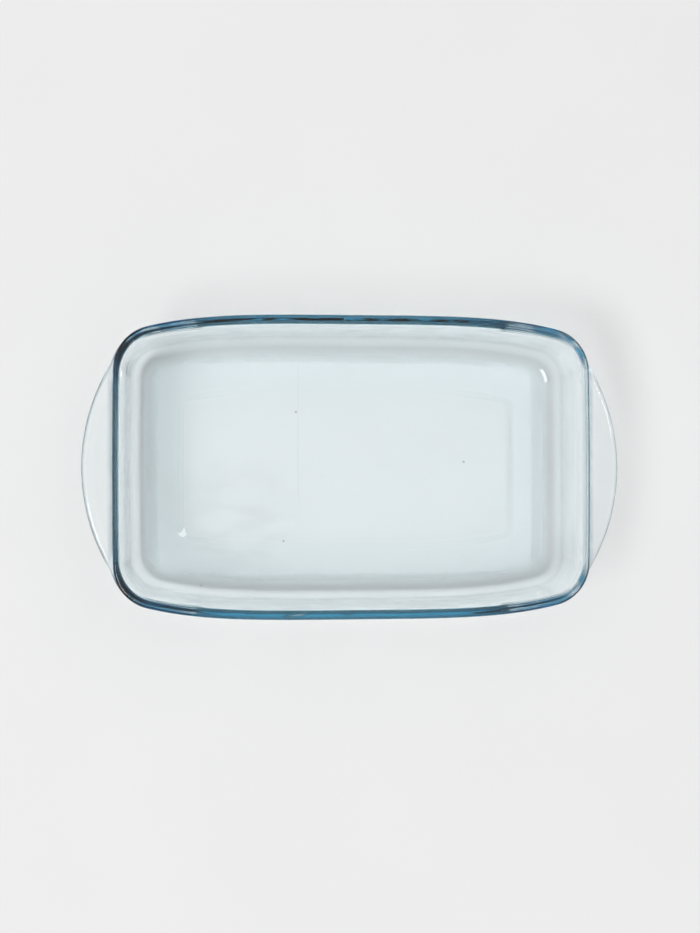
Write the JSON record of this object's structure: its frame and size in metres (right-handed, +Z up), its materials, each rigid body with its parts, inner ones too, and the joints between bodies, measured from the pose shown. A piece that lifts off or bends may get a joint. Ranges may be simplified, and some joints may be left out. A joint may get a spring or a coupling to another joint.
{
  "type": "rectangular glass baking dish",
  "caption": "Clear pressed-glass rectangular baking dish with bowed long sides, rounded corners, a rim bead, a foot ring and a crescent handle at each end.",
  "frame": {"origin": "under the middle of the dish, on the surface it stands on", "axes": "+X along the dish towards the right handle, +Y across it, +Z up out of the mouth"},
  "size_m": [0.321, 0.1806, 0.056],
  "materials": {
    "clear_glass": "fire-polished clear pressed glass with a faint blue-green tint",
    "rim_glass": "the same glass seen edge on, where its blue tint gathers"
  },
  "bodies": {
    "root": {"basin": "clear_glass", "rim_bead": "rim_glass", "foot_ring": "clear_glass", "right_handle": "clear_glass", "left_handle": "clear_glass"}
  },
  "joints": []
}
